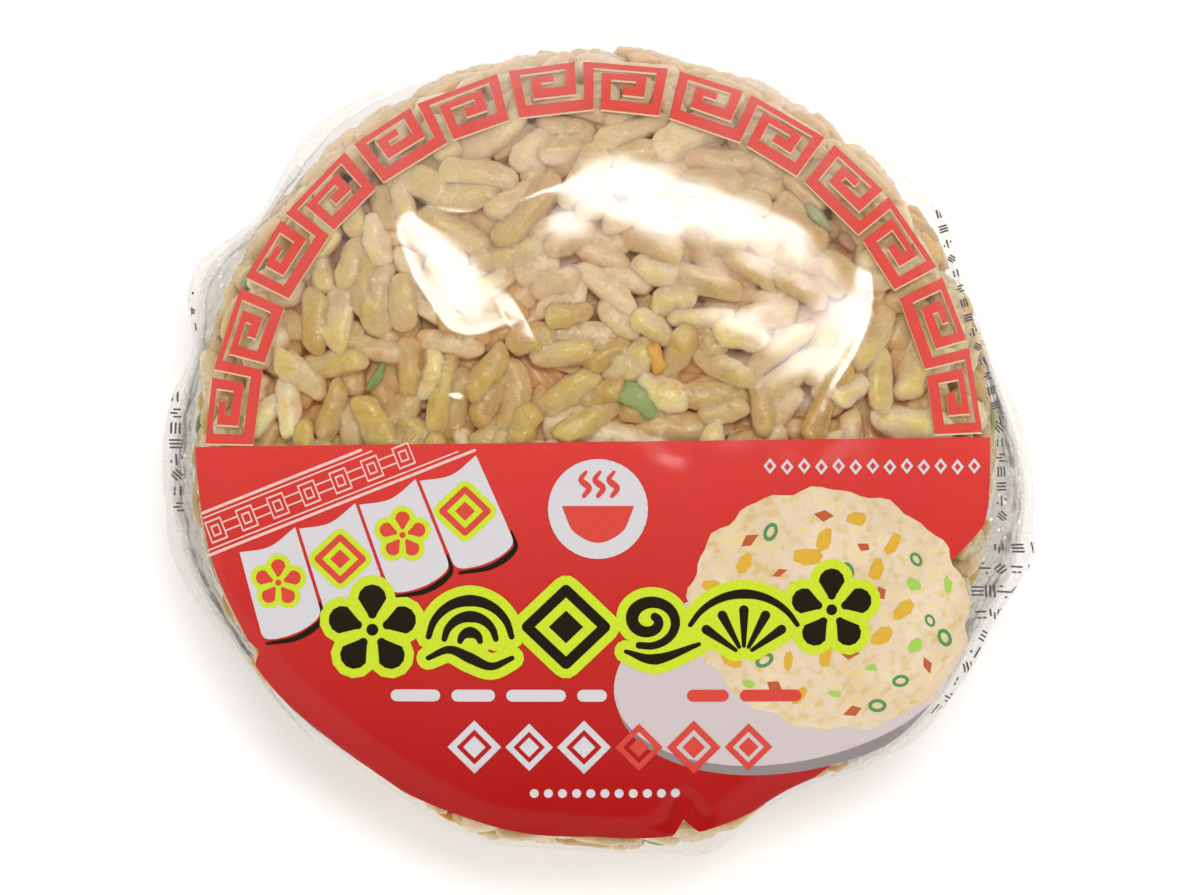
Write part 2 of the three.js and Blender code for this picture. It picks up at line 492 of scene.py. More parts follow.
def largest_island(points, faces):
    """The largest connected part of a mesh."""
    starts = np.concatenate(faces)
    ends = np.concatenate([face[1:] + face[:1] for face in faces])
    label = np.arange(len(points))
    before = None
    while before is None or (label != before).any():
        before = label.copy()
        low = np.minimum(label[starts], label[ends])
        np.minimum.at(label, starts, low)
        np.minimum.at(label, ends, low)
        label = label[label]
    kept = label == np.bincount(label).argmax()
    number = np.cumsum(kept) - 1
    return points[kept], [tuple(number[list(face)]) for face in faces if kept[face[0]]]


def thinned(points, faces, most):
    """The mesh with no more than so many triangles."""
    count = sum(len(face) - 2 for face in faces)
    piece = in_scene(mesh_object("part", points, faces))
    piece.modifiers.new("thin", "DECIMATE").ratio = min(1, most / count)
    result = evaluated(piece)
    bpy.data.meshes.remove(piece.data)
    return result


def weld(piece):
    """Joins the points that lie on each other and turns the faces outwards."""
    mesh = bmesh.new()
    mesh.from_mesh(piece.data)
    bmesh.ops.remove_doubles(mesh, verts=mesh.verts, dist=0.002 * MM)
    bmesh.ops.recalc_face_normals(mesh, faces=mesh.faces)
    mesh.to_mesh(piece.data)
    mesh.free()


def inside(loops, x, y, holes=True):
    """Whether points lie inside closed loops. A loop within a loop is a hole, or else adds
    to it."""
    result = np.zeros(len(x), dtype=bool)
    for loop in loops:
        within = np.zeros(len(x), dtype=bool)
        for (x0, y0), (x1, y1) in zip(loop, np.roll(loop, -1, axis=0)):
            if y0 != y1:
                crosses = (y0 > y) != (y1 > y)
                within ^= crosses & (x < x0 + (y - y0) * (x1 - x0) / (y1 - y0))
        result = result ^ within if holes else result | within
    return result


def divided(loop, longest):
    """The loop with its long sides divided."""
    points = []
    for start, end in zip(loop, np.roll(loop, -1, axis=0)):
        parts = max(1, int(np.ceil(np.linalg.norm(end - start) / longest)))
        points += [start + (end - start) * i / parts for i in range(parts)]
    return np.array(points)


def filled(loops, spacing, holes=True):
    """Triangles that fill closed loops, fine enough to bend over the film."""
    loops = [divided(loop, spacing) for loop in loops]
    corners = np.concatenate(loops)
    edges = []
    start = 0
    for loop in loops:
        count = len(loop)
        edges += [(start + i, start + (i + 1) % count) for i in range(count)]
        start += count
    low, high = corners.min(axis=0), corners.max(axis=0)
    step_y = spacing * math.sqrt(0.75)
    grid = [(x + (row % 2) * spacing / 2, y)
            for row, y in enumerate(np.arange(low[1] + step_y / 2, high[1], step_y))
            for x in np.arange(low[0], high[0], spacing)]
    if grid:
        grid = np.array(grid)
        near = np.ones(len(grid), dtype=bool)
        for chunk in range(0, len(corners), 200):
            away = grid[:, None] - corners[None, chunk:chunk + 200]
            near &= (np.abs(away).max(axis=2) > 0.35 * spacing).all(axis=1)
        grid = grid[near & inside(loops, *grid.T, holes)]
        corners = np.concatenate([corners, grid])
    out = delaunay_2d_cdt([Vector(corner) for corner in corners], edges, [], 0, 1e-6)
    points = np.array([tuple(corner) for corner in out[0]])
    faces = np.array(out[2])
    return points, faces[inside(loops, *points[faces].mean(axis=1).T, holes)]


def curve_through(points, count=6):
    """A smooth line through points, as many short stretches."""
    points = np.asarray(points, dtype=float)
    ends = np.vstack([2 * points[0] - points[1], points, 2 * points[-1] - points[-2]])
    line = []
    for i in range(1, len(ends) - 2):
        a, b, c, d = ends[i - 1:i + 3]
        for t in np.linspace(0, 1, count, endpoint=False):
            line.append(0.5 * (2 * b + (c - a) * t + (2 * a - 5 * b + 4 * c - d) * t ** 2
                               + (3 * b - a - 3 * c + d) * t ** 3))
    line.append(points[-1])
    return np.array(line)


# ---------------------------------------------------------------- rice

GRAIN_LENGTH, GRAIN_WIDTH, GRAIN_THICKNESS = 8.1, 3.15, 2.7
FILM_CLEARANCE = 0.24       # from the film's smooth form down to the highest grains
PRESSED_CLEARANCE = 0.20    # left to the film where it presses on them
CONTACT_GAP = 0.55          # gap within which a grain sticks to the film
UNDER_PRINT = -2.5          # y below which the opaque front hides the rice
RICE_TRIANGLES = 195000
POLE = 0.02                 # polar angle at which the rice's grids begin and end
GRAIN_LIE = (               # x, y, reach and direction in degrees of grains that lie together
    (-22, 6, 9, 92), (-12, 3, 6, 80), (2, 10, 10, 12), (14, 14, 8, 172),
    (26, 6, 7, 68), (-4, 27, 8, 25), (-20, 24, 8, 140), (20, 27, 8, 150),
)


def scattered(random, count):
    """Directions drawn evenly over the rice ball's surface."""
    polar, azimuth = crossed(np.linspace(POLE, math.pi - POLE, 200),
                             np.linspace(0, 2 * math.pi, 240))
    points = rice_form(polar, azimuth)
    lower = points[1:, :-1] - points[:-1, :-1]
    along = points[:-1, 1:] - points[:-1, :-1]
    area = np.linalg.norm(np.cross(lower, along), axis=-1).ravel()
    cells = random.choice(len(area), size=count, p=area / area.sum())
    rows, columns = np.divmod(cells, polar.shape[1] - 1)
    part = random.random((2, count))
    return (polar[0, 0] + (rows + part[0]) * (polar[1, 0] - polar[0, 0]),
            (columns + part[1]) * (azimuth[0, 1] - azimuth[0, 0]))


def lie_direction(random, x, y):
    """Direction of a grain on the front, near that of its neighbours."""
    pull = np.array([0.25 * random.normal(), 0.25 * random.normal()])
    for at_x, at_y, reach, angle in GRAIN_LIE:
        weight = math.exp(-((x - at_x) ** 2 + (y - at_y) ** 2) / reach ** 2)
        double = 2 * math.radians(angle)
        pull += weight * np.array([math.cos(double), math.sin(double)])
    return math.atan2(pull[1], pull[0]) / 2 + random.normal(0, 0.42)


def grain_layer(random, depth, closeness, tries, kept_clear=()):
    """Grains that lie side by side at a depth under the film. kept_clear are spheres of
    other things among them."""
    polar, azimuth = scattered(random, tries)
    surface, normals = form_frame(rice_form, polar, azimuth)
    balls = np.array(kept_clear).reshape(-1, 4)
    grains = []
    for point, normal in zip(surface, normals):
        if point[1] < UNDER_PRINT and normal[2] > 0.3 and point[2] > FOLD_HEIGHT + 6:
            continue
        size = min(max(random.normal(1, 0.09), 0.78), 1.2)
        length = GRAIN_LENGTH * size * random.uniform(0.66, 1.16)
        width = GRAIN_WIDTH * size * random.uniform(0.84, 1.14)
        thickness = GRAIN_THICKNESS * size * random.uniform(0.9, 1.08)
        turn = lie_direction(random, point[0], point[1])
        along = np.array([math.cos(turn), math.sin(turn), 0.0])
        if abs(normal[2]) < 0.35:
            side = np.array([-normal[1], normal[0], 0.0])
            along = math.cos(turn) * side + math.sin(turn) * np.array([0, 0, 1.0])
        along = unit(along - normal * along.dot(normal))
        along = unit(along + normal * random.normal(0, 0.10))
        across = unit(np.cross(normal, along))
        sunk = depth + abs(random.normal(0, 0.40))
        centre = point - normal * (FILM_CLEARANCE + thickness / 2 + sunk)
        own = centre + along * (np.linspace(-0.5, 0.5, 5) * (length - width))[:, None]
        if len(balls):
            apart = np.linalg.norm(own[:, None] - balls[None, :, :3], axis=2)
            if (apart < (balls[:, 3] + width / 2) * closeness).any():
                continue
        balls = np.vstack([balls, np.hstack([own, np.full((5, 1), width / 2)])])
        grains.append(SimpleNamespace(
            centre=centre, along=along, across=across, up=np.cross(along, across),
            length=length, width=width, thickness=thickness, sunk=FILM_CLEARANCE + sunk,
            bend=random.normal(0, 0.05), tint=random.random(), taper=random.uniform(-0.16, 0.16),
            slant=random.normal(0, 0.13), ends=random.uniform(2.5, 5.5, 2),
            swells=random.normal(0, 0.028, (3, 2)),
            flats=random.normal(0, 1, (8, 3)) * (1, 0.12, 1)))
    return grains


def grain_points(grain, rings, sides):
    """A grain's surface: a bent rod with blunt, slanting ends and the soft flats that cooked
    grains press into each other."""
    part = -np.cos(np.linspace(0, math.pi, rings))[:, None]
    turn = np.linspace(0, 2 * math.pi, sides, endpoint=False)[None, :]
    blunt = np.where(part < 0, grain.ends[0], grain.ends[1])
    fat = np.sqrt(np.clip(1 - np.abs(part) ** blunt, 0, 1))
    square = (np.abs(np.cos(turn)) ** 3 + np.abs(np.sin(turn)) ** 3) ** (-1 / 3)
    x, z = fat * square * np.cos(turn), fat * square * np.sin(turn)
    shape = np.stack([x, part + grain.slant * x * np.abs(part) ** 3, z], axis=-1)
    for i, flat in enumerate(grain.flats):
        towards = unit(flat)
        beyond = np.maximum(shape @ towards - (0.84 + 0.022 * i), 0)
        shape -= 0.9 * beyond[..., None] * towards
    seed = 40 * grain.tint
    lumpy = (1 + 0.025 * np.sin(2 * turn + 3.1 * part + seed)
             + 0.022 * np.sin(3 * turn - 6.3 * part + 2.3 * seed)
             + 0.018 * np.sin(4 * turn + 11 * part + 1.7 * seed)) * (1 + grain.taper * part)
    wide = high = 1
    for k, (own_width, own_height) in enumerate(grain.swells):
        wide = wide + own_width * np.sin((k + 1.3) * math.pi * part + seed)
        high = high + own_height * np.sin((k + 1.3) * math.pi * part + 2 * seed)
    across = shape[..., 0] * lumpy * wide * grain.width / 2
    across += grain.bend * grain.length * (part ** 2 - 0.4) + 0.12 * grain.slant * part ** 3
    up = shape[..., 2] * lumpy * high * grain.thickness / 2
    along = shape[..., 1] * grain.length / 2
    shape = (grain.centre + across[..., None] * grain.across + along[..., None] * grain.along
             + up[..., None] * grain.up)
    return np.vstack([shape[0, :1], shape[1:-1].reshape(-1, 3), shape[-1, :1]])


def tucked(points):
    """Points drawn in to lie inside the rice ball's form, clear of the film over it."""
    for _ in range(3):
        x, y, z = points.T
        radius, azimuth = np.hypot(x, y), np.arctan2(y, x)
        reach = PACK_RADIUS + np.minimum(swell(azimuth), 0)
        out, rise = radius / reach, z - FOLD_HEIGHT
        front = rise >= 0
        tall = np.where(front, PACK_THICKNESS - FOLD_HEIGHT, FOLD_HEIGHT + REST_DEPTH)
        squareness = np.where(front, FACE_SQUARENESS, BACK_SQUARENESS)
        roundness = np.where(front, FACE_ROUNDNESS, BACK_ROUNDNESS)
        part = np.abs(rise) / tall
        level = out ** squareness + part ** roundness - 1
        slope_out = squareness * out ** (squareness - 1) / reach
        slope_up = roundness * part ** (roundness - 1) / tall * np.sign(rise)
        steep = np.maximum(np.hypot(slope_out, slope_up), 1e-3)
        move = np.maximum(level / steep + FILM_CLEARANCE, 0) / steep
        points = spun(radius - move * slope_out, azimuth, z - move * slope_up)
    points[:, 2] = np.maximum(points[:, 2], FILM_CLEARANCE)
    return points


def rice_core():
    """The rice deeper in, which shows between the grains, as a closed shape."""
    rings, around = 60, 110
    polar, azimuth = crossed(np.linspace(POLE, math.pi - POLE, rings),
                             np.linspace(0, 2 * math.pi, around, endpoint=False))
    surface, normals = form_frame(rice_form, polar, azimuth)
    bumps = 0.35 * np.sin(29 * azimuth + 5 * np.sin(17 * polar)) * np.sin(33 * polar)
    points = surface - normals * (3.3 + bumps)[..., None]
    return capped(points), [face[::-1] for face in closed_grid(rings, around)]


def make_rice(layers, front, material):
    """All the rice as one closed body, its grains stuck together as they are, flattened where
    the film presses on them. A layer is its grains, their fineness and their range of tints."""
    shapes, tints = [rice_core()], [1.0]
    for grains, rings, sides, low, high in layers:
        faces = closed_grid(rings, sides)
        shapes += [(grain_points(grain, rings, sides), faces) for grain in grains]
        tints += [low + (high - low) * grain.tint for grain in grains]
    points, faces = thinned(*joined(shapes), RICE_TRIANGLES)
    tree = KDTree(sum(len(shape[0]) for shape in shapes))
    for (own, _), tint in zip(shapes, tints):
        for point in own:
            tree.insert(point, round(tint * 1000))
    tree.balance()
    tint = [tree.find(point)[1] / 1000 for point in points]
    noise.seed_set(BUMP_SEED)
    points = points + [noise.noise_vector(Vector(point) * 1.3) * 0.07 for point in points]
    points = front.press(tucked(points))
    return make_piece("rice", points, faces, material, "rice", tint=tint,
                      contact=front.contact(points), deep=front.depth(points))


# ---------------------------------------------------------------- the film's relief

GRID_REACH, GRID_STEP = 46.0, 0.25       # height field of what the film lies on
SAG = 0.11                               # most that the film sinks between grains
GAP_DEPTH = 1.8                          # how deep the gaps between grains count
EDGE = 0.9995                            # how far out heights are read
PRINT_TILT = 0.022                       # how far the printed part leans off at the bottom
CREASES = (  # pixels that a crease runs through, its height and half its width
    (((368, 168), (400, 190), (438, 208), (480, 212), (530, 196), (575, 176)), 0.34, 1.2),
    (((376, 184), (398, 240), (436, 316), (464, 336), (500, 330), (526, 316)), 0.42, 2.2),
    (((872, 240), (876, 300), (858, 350), (832, 392), (813, 442)), 0.42, 1.3),
    (((455, 392), (454, 440)), 0.15, 0.8),
    (((192, 452), (214, 560), (258, 650), (285, 700)), 0.25, 1.2),
    (((666, 836), (672, 812), (684, 798), (696, 812), (706, 836)), -1.1, 0.9),
    (((900, 740), (860, 745), (800, 800), (782, 826)), 0.30, 1.2),
)
PRESSES = (  # soft hollows and swells of the film: pixel, reach and height
    ((640, 200), 9.0, 0.25), ((474, 246), 5.4, -0.40), ((860, 170), 8.0, 0.8),
    ((300, 330), 7.0, 0.25), ((800, 345), 6.0, -0.2), ((545, 275), 4.5, 0.28),
    ((520, 200), 4.0, 0.2), ((620, 620), 18.0, 0.3), ((330, 700), 9.0, -0.2),
    ((800, 690), 12.0, 0.2), ((520, 780), 8.0, 0.15),
)


def smoothed(field, reach):
    """A height field blurred over a reach in millimetres."""
    half = round(3 * reach / GRID_STEP)
    weights = np.exp(-(np.arange(-half, half + 1) * GRID_STEP / reach) ** 2 / 2)
    weights /= weights.sum()
    for axis in (0, 1):
        field = np.apply_along_axis(np.convolve, axis, field, weights, mode="same")
    return field


def sag_field(grains):
    """How far the front's film sinks between the grains, as a grid over x and y."""
    ticks = np.arange(-GRID_REACH, GRID_REACH, GRID_STEP)
    x, y = crossed(ticks, ticks)
    depth = np.full(x.shape, -GAP_DEPTH)
    for grain in grains:
        if grain.up[2] < 0.4:
            continue
        reach = grain.length / 2
        near = (np.abs(x - grain.centre[0]) < reach) & (np.abs(y - grain.centre[1]) < reach)
        away = np.stack([x[near] - grain.centre[0], y[near] - grain.centre[1]], axis=-1)
        along = unit(grain.along[:2])
        across = np.array([-along[1], along[0]])
        far = (away @ along / reach) ** 2 + (away @ across / grain.width * 2) ** 2
        top = grain.sunk + grain.thickness / 2 * (1 - np.sqrt(np.clip(1 - far, 0, 1)))
        depth[near] = np.maximum(depth[near], np.where(far < 1, -top, -GAP_DEPTH))
    sag = np.clip(0.10 * (smoothed(depth, 0.9) + 0.35), -SAG, 0)
    return sag / (1 + np.exp(-(y - UNDER_PRINT) / 1.2))


def line_distance(x, y, line):
    """Distance from points to a line of straight stretches, and how far along it they lie."""
    best = np.full(x.shape, 1e9)
    place_on = np.zeros(x.shape)
    spans = len(line) - 1
    for i in range(spans):
        (x0, y0), (x1, y1) = line[i], line[i + 1]
        run = (x1 - x0) ** 2 + (y1 - y0) ** 2
        part = np.clip(((x - x0) * (x1 - x0) + (y - y0) * (y1 - y0)) / run, 0, 1)
        away = np.hypot(x - x0 - part * (x1 - x0), y - y0 - part * (y1 - y0))
        place_on = np.where(away < best, (i + part) / spans, place_on)
        best = np.minimum(best, away)
    return best, place_on


class Front:
    """The film's front as a height over x and y, with its sag, creases and slight waves."""

    def __init__(self, grains, random):
        self.sag = sag_field(grains)
        angle, length = random.uniform(0, math.pi, 9), random.uniform(9, 24, 9)
        self.waves = np.column_stack([spun(2 * math.pi / length, angle),
                                      random.uniform(0, 2 * math.pi, 9)])
        self.creases = [(curve_through(from_photo(pixels), 8), rise, half_width)
                        for pixels, rise, half_width in CREASES]

    def sag_at(self, x, y):
        across = np.clip((x + GRID_REACH) / GRID_STEP, 0, self.sag.shape[0] - 2)
        up = np.clip((y + GRID_REACH) / GRID_STEP, 0, self.sag.shape[1] - 2)
        i, j = across.astype(int), up.astype(int)
        u, v = across - i, up - j
        return ((1 - u) * (1 - v) * self.sag[i, j] + u * (1 - v) * self.sag[i + 1, j]
                + (1 - u) * v * self.sag[i, j + 1] + u * v * self.sag[i + 1, j + 1])

    def relief(self, x, y, out):
        """What the smooth form lacks, dying away towards the film's edge."""
        height = self.sag_at(x, y) - PRINT_TILT * 2 * np.logaddexp(0, (2 - y) / 2)
        for kx, ky, phase in self.waves:
            height = height + 0.02 * np.sin(kx * x + ky * y + phase)
        for pixel, reach, rise in PRESSES:
            at_x, at_y = from_photo(pixel)
            height = height + rise * np.exp(-((x - at_x) ** 2 + (y - at_y) ** 2) / reach ** 2)
        for line, rise, half_width in self.creases:
            away, along = line_distance(x, y, line)
            ends = np.clip(np.sin(math.pi * np.clip(along, 0.02, 0.98)) * 2.5, 0, 1)
            height = height + rise * ends * np.exp(-np.abs(away / half_width) ** 1.6)
        return height * np.clip((0.985 - out) / 0.06, 0, 1)

    def height(self, x, y):
        out = np.minimum(out_at(x, y), EDGE)
        return FOLD_HEIGHT + front_rise(out) + self.relief(x, y, out)

    def normals(self, x, y, step=0.05):
        slope_x = (self.height(x + step, y) - self.height(x - step, y)) / (2 * step)
        slope_y = (self.height(x, y + step) - self.height(x, y - step)) / (2 * step)
        normal = np.stack([-slope_x, -slope_y, np.ones_like(x)], axis=-1)
        return normal / np.linalg.norm(normal, axis=1, keepdims=True)

    def under(self, flat, depth):
        """Points on the film, seen from above as flat has them, or so deep below it."""
        x, y = flat.T
        return np.stack([x, y, self.height(x, y)], axis=-1) - self.normals(x, y) * depth

    def press(self, points):
        """Pushes points that come too near the film back under it."""
        gap = self.height(points[:, 0], points[:, 1]) - points[:, 2]
        close = (gap < PRESSED_CLEARANCE * 20) & (points[:, 2] > FOLD_HEIGHT)
        near = points[close]
        normal = self.normals(near[:, 0], near[:, 1])
        short = PRESSED_CLEARANCE - gap[close] * normal[:, 2]
        points[close] = near - normal * np.maximum(short, 0)[:, None]
        return points

    def depth(self, points):
        """How deep points of the front lie in the gaps between the grains, 0 to 1."""
        x, y, z = points.T
        level = self.normals(x, y)[:, 2]
        gap = (self.height(x, y) - z) * level
        return np.clip((gap - 0.9) / 2.0, 0, 1) * np.clip((level - 0.75) / 0.15, 0, 1)

    def contact(self, points):
        """How far points stick to the film, 0 to 1, in patches with uneven edges."""
        gap = self.height(points[:, 0], points[:, 1]) - points[:, 2]
        gap = np.where(points[:, 2] > FOLD_HEIGHT, gap, CONTACT_GAP)
        uneven = np.array([noise.noise(Vector(point) * 0.8) for point in points])
        return np.clip((CONTACT_GAP + 0.5 * uneven - gap) / 0.15 + 0.5, 0, 1)


# ---------------------------------------------------------------- the film

LOOSE_WHITENING = 1.4       # reach beyond the rice over which the loose film turns milky
SHEET_MILK, FIN_MILK = 0.3, 2.4
CRUMPLE_WAVES = (  # pleats round the pack, turns of them from front to back, share, phase
    (17, 3.5, 1.0, 0.4), (23, -5.0, 0.9, 2.1), (29, 7.5, 0.8, 4.0), (37, -2.5, 0.7, 1.3),
    (11, 9.0, 0.7, 5.2), (47, 6.0, 0.5, 3.1), (7, -11.0, 0.5, 0.9),
)
FOLD_SHEETS = (  # angles from and to in degrees, share of the film's swell, phase
    (112, 232, 0.72, 0.3), (164, 226, 0.88, 5.0), (300, 388, 0.74, 2.2), (326, 380, 0.90, 5.6),
)
FOLD_FINS = (  # angles from and to in degrees, height, phase
    (136, 226, 14.6, 0.4), (140, 222, 12.4, 2.9), (306, 382, 14.6, 1.8), (310, 378, 12.4, 4.6),
)


def zigzag(turn):
    """A wave of straight flanks and sharp turns, between -1 and 1."""
    return np.arcsin(np.sin(turn)) / (math.pi / 2)


def crumple(polar, azimuth):
    """How far the gathered film stands out in sharp, uneven pleats past the front's edge."""
    height = 0
    for around, down, share, phase in CRUMPLE_WAVES:
        turn = around * azimuth + down * polar + phase
        height = height + share * zigzag(turn) * 2.6 / (around + 6)
    height = np.maximum(height + 0.22, 0)
    starts = np.clip((polar - 1.12) / 0.3, 0, 1)
    ends = np.clip((2.75 - polar) / 0.4, 0, 1)
    return height * (0.3 + 1.7 * np.clip(swell(azimuth) / 2, 0, 1)) * starts * ends


def make_film(front, material):
    """The whole bag: rings from the middle of the front, over the edge, to the back."""
    around = 480
    polar = np.concatenate([np.arcsin(np.linspace(0.004, 0.90, 92)),
                            np.linspace(math.asin(0.90), 2.4, 70)[1:],
                            np.linspace(2.4, math.pi - 0.004, 24)[1:]])
    polar, azimuth = crossed(polar, np.linspace(0, 2 * math.pi, around, endpoint=False))
    points, normals = form_frame(film_form, polar, azimuth, 0.002)
    relief = front.relief(points[..., 0], points[..., 1], np.sin(polar))
    points[..., 2] += np.where(np.cos(polar) > 0, relief, 0)
    points += normals * crumple(polar, azimuth)[..., None]
    beyond = np.hypot(points[..., 0], points[..., 1]) - PACK_RADIUS - np.minimum(swell(azimuth), 0)
    loose = np.clip((beyond + 0.2) / LOOSE_WHITENING, 0, 1)
    rings = len(points)
    flat = points.reshape(-1, 3)
    flat[:, 2] = np.maximum(flat[:, 2], 0)
    flat = np.vstack([flat, flat[:around].mean(axis=0), flat[-around:].mean(axis=0)])
    start, middle = (rings - 1) * around, rings * around
    faces = grid_faces(rings, around)
    faces += [(middle, i, (i + 1) % around) for i in range(around)]
    faces += [(middle + 1, start + (i + 1) % around, start + i) for i in range(around)]
    tint = np.append(loose.ravel(), (0, 0))
    return make_piece("clear_film", flat, faces, material, "clear_film", tint=tint)


def make_folds(material):
    """Inner layers of the film's gathered ends, crumpled, at the left and the right: upright
    sheets, and fins that lie flat."""
    rows, columns = 34, 90
    points = []
    for low, high, loose, phase in FOLD_SHEETS:
        azimuth = np.radians(np.linspace(low, high, columns))
        polar, azimuth = crossed(np.linspace(1.36, 2.25, rows), azimuth)
        sheet = film_form(polar, azimuth, loose)
        ends = np.sin(math.pi * np.linspace(0, 1, columns))[None, :] ** 0.5
        crumpled = (0.42 * zigzag(31 * azimuth + 4 * np.sin(7 * polar + phase))
                    + 0.30 * zigzag(19 * azimuth * polar + phase)
                    + 0.18 * zigzag(57 * azimuth + 14 * polar + 2 * phase))
        sheet[..., :2] -= spun(0.55 + ends * np.abs(crumpled), azimuth)
        points.append(sheet)
    for low, high, height, phase in FOLD_FINS:
        azimuth = np.radians(np.linspace(low, high, columns))
        part, azimuth = crossed(np.linspace(0, 1, rows), azimuth)
        radius = PACK_RADIUS - 0.5 + part * (0.25 + 0.88 * np.maximum(swell(azimuth), 0))
        crumpled = zigzag(37 * azimuth + 3 * part + phase) + 0.6 * zigzag(61 * azimuth - 8 * part)
        points.append(spun(radius, azimuth, height + 0.4 * crumpled))
    faces = repeated(grid_faces(rows, columns, False), len(points), rows * columns)
    flat = np.concatenate(points).reshape(-1, 3)
    flat[:, 2] = np.maximum(flat[:, 2], 0)
    tints = [SHEET_MILK] * len(FOLD_SHEETS) + [FIN_MILK] * len(FOLD_FINS)
    return make_piece("film_folds", flat, faces, material, "clear_film",
                      tint=np.repeat(tints, rows * columns))


# ---------------------------------------------------------------- bits among the rice

BITS = (  # kind, pixel, direction in degrees, length, width, thickness, sunk
    ("green_onion", (637, 397), -28, 4.6, 2.5, 0.7, 0.0),
    ("green_onion", (376, 377), 60, 3.2, 1.0, 0.7, 0.5),
    ("green_onion", (820, 212), -48, 3.8, 1.3, 0.8, 0.3),
    ("green_onion", (690, 186), -8, 3.4, 1.6, 0.8, 0.6),
    ("green_onion", (232, 264), 22, 4.2, 1.7, 0.9, 0.2),
    ("egg", (656, 357), -72, 3.4, 1.5, 1.1, 0.1),
    ("egg", (946, 238), 62, 3.6, 1.7, 1.3, 0.3),
    ("egg", (520, 98), 8, 3.0, 2.0, 1.2, 0.5),
    ("roast_pork", (852, 238), -40, 2.2, 1.3, 1.0, 0.6),
    ("roast_pork", (352, 176), 35, 2.4, 1.7, 1.3, 0.6),
)
MORE_BITS = (("green_onion", 22), ("egg", 20), ("roast_pork", 12))
BIT_RINGS, BIT_SIDES = 18, 26


def place_bits(random):
    """Bits on the front where the photograph shows them, and others round the side and back."""
    found = []
    for kind, pixel, *shape in BITS:
        x, y = from_photo(pixel)
        out = out_at(np.array([x]), np.array([y]))
        found.append((kind, float(np.arcsin(out)[0]), math.atan2(y, x), *shape))
    for kind, count in MORE_BITS:
        polar, azimuth = scattered(random, count * 4)
        beyond = polar > 1.35
        for at_polar, at_azimuth in list(zip(polar[beyond], azimuth[beyond]))[:count]:
            size = random.uniform(0.8, 1.25)
            found.append((kind, at_polar, at_azimuth, random.uniform(0, 180),
                          3.4 * size, 1.9 * size, 1.1 * size, random.uniform(0.1, 0.6)))
    bits = []
    for kind, polar, azimuth, turn, length, width, thickness, sunk in found:
        point, normal = form_frame(rice_form, np.array(polar), np.array(azimuth))
        along = np.array([math.cos(math.radians(turn)), math.sin(math.radians(turn)), 0.2])
        along = unit(along - normal * along.dot(normal))
        bits.append(SimpleNamespace(
            kind=kind, centre=point - normal * (FILM_CLEARANCE + sunk + thickness / 2),
            along=along, across=np.cross(normal, along), up=normal, length=length, width=width,
            thickness=thickness, seed=random.uniform(0, 6), tint=random.random()))
    return bits


def kept_for(bits):
    """Spheres that fill the bits, for the grains to keep clear of."""
    return [[*(bit.centre + bit.along * part * bit.length), bit.width / 2 + 0.2]
            for bit in bits for part in (-0.3, 0, 0.3)]


def bit_points(bit):
    """A bit's surface: a lumpy block with soft corners, or a thin curled strip of green onion."""
    part = -np.cos(np.linspace(0, math.pi, BIT_RINGS))[:, None]
    turn = np.linspace(0, 2 * math.pi, BIT_SIDES, endpoint=False)[None, :]
    leaf = bit.kind == "green_onion"
    skewed, narrowed, bent = (0.30, 0.30, 0.10) if leaf else (0.10, 0.12, 0.04)
    square = (np.abs(np.cos(turn)) ** 4 + np.abs(np.sin(turn)) ** 4) ** -0.25
    fat = np.clip(1 - np.abs(part) ** 5, 0, 1) ** 0.4
    lumpy = 1 + 0.10 * np.sin(2.3 * turn + bit.seed + 3 * part) + 0.06 * np.sin(5 * part + bit.seed)
    x = fat * square * lumpy * np.cos(turn)
    z = fat * square * lumpy * np.sin(turn) * bit.thickness / 2
    y = part * (1 + skewed * x * math.sin(bit.seed) + 0.08 * np.sin(3 * x + bit.seed))
    x = x * (1 - narrowed * part * math.cos(bit.seed)) * bit.width / 2
    if leaf:
        z = z + 0.05 * np.sin(9 * x) - 0.30 * x ** 2 / bit.width
    z = z - bent * bit.length * part ** 2
    shape = (bit.centre + x[..., None] * bit.across + y[..., None] * bit.length / 2 * bit.along
             + z[..., None] * bit.up)
    return shape.reshape(-1, 3)


def make_bits(kind, bits, front, material):
    own = [bit for bit in bits if bit.kind == kind]
    points = front.press(tucked(np.concatenate([bit_points(bit) for bit in own])))
    each = BIT_RINGS * BIT_SIDES
    faces = repeated(grid_faces(BIT_RINGS, BIT_SIDES), len(own), each)
    tints = np.repeat([bit.tint for bit in own], each)
    weld(make_piece(kind, points, faces, material, kind, tint=tints))


# ---------------------------------------------------------------- strokes and figures, in pixels

def oval(x, y, half_width, half_height, turn=0, count=40):
    angle = np.linspace(0, 2 * math.pi, count, endpoint=False)
    across, down = half_width * np.cos(angle), half_height * np.sin(angle)
    cosine, sine = math.cos(math.radians(turn)), math.sin(math.radians(turn))
    return np.stack([x + across * cosine - down * sine, y + across * sine + down * cosine], -1)


def lozenge(x, y, half_width, half_height):
    return np.array([(x + half_width, y), (x, y + half_height),
                     (x - half_width, y), (x, y - half_height)])


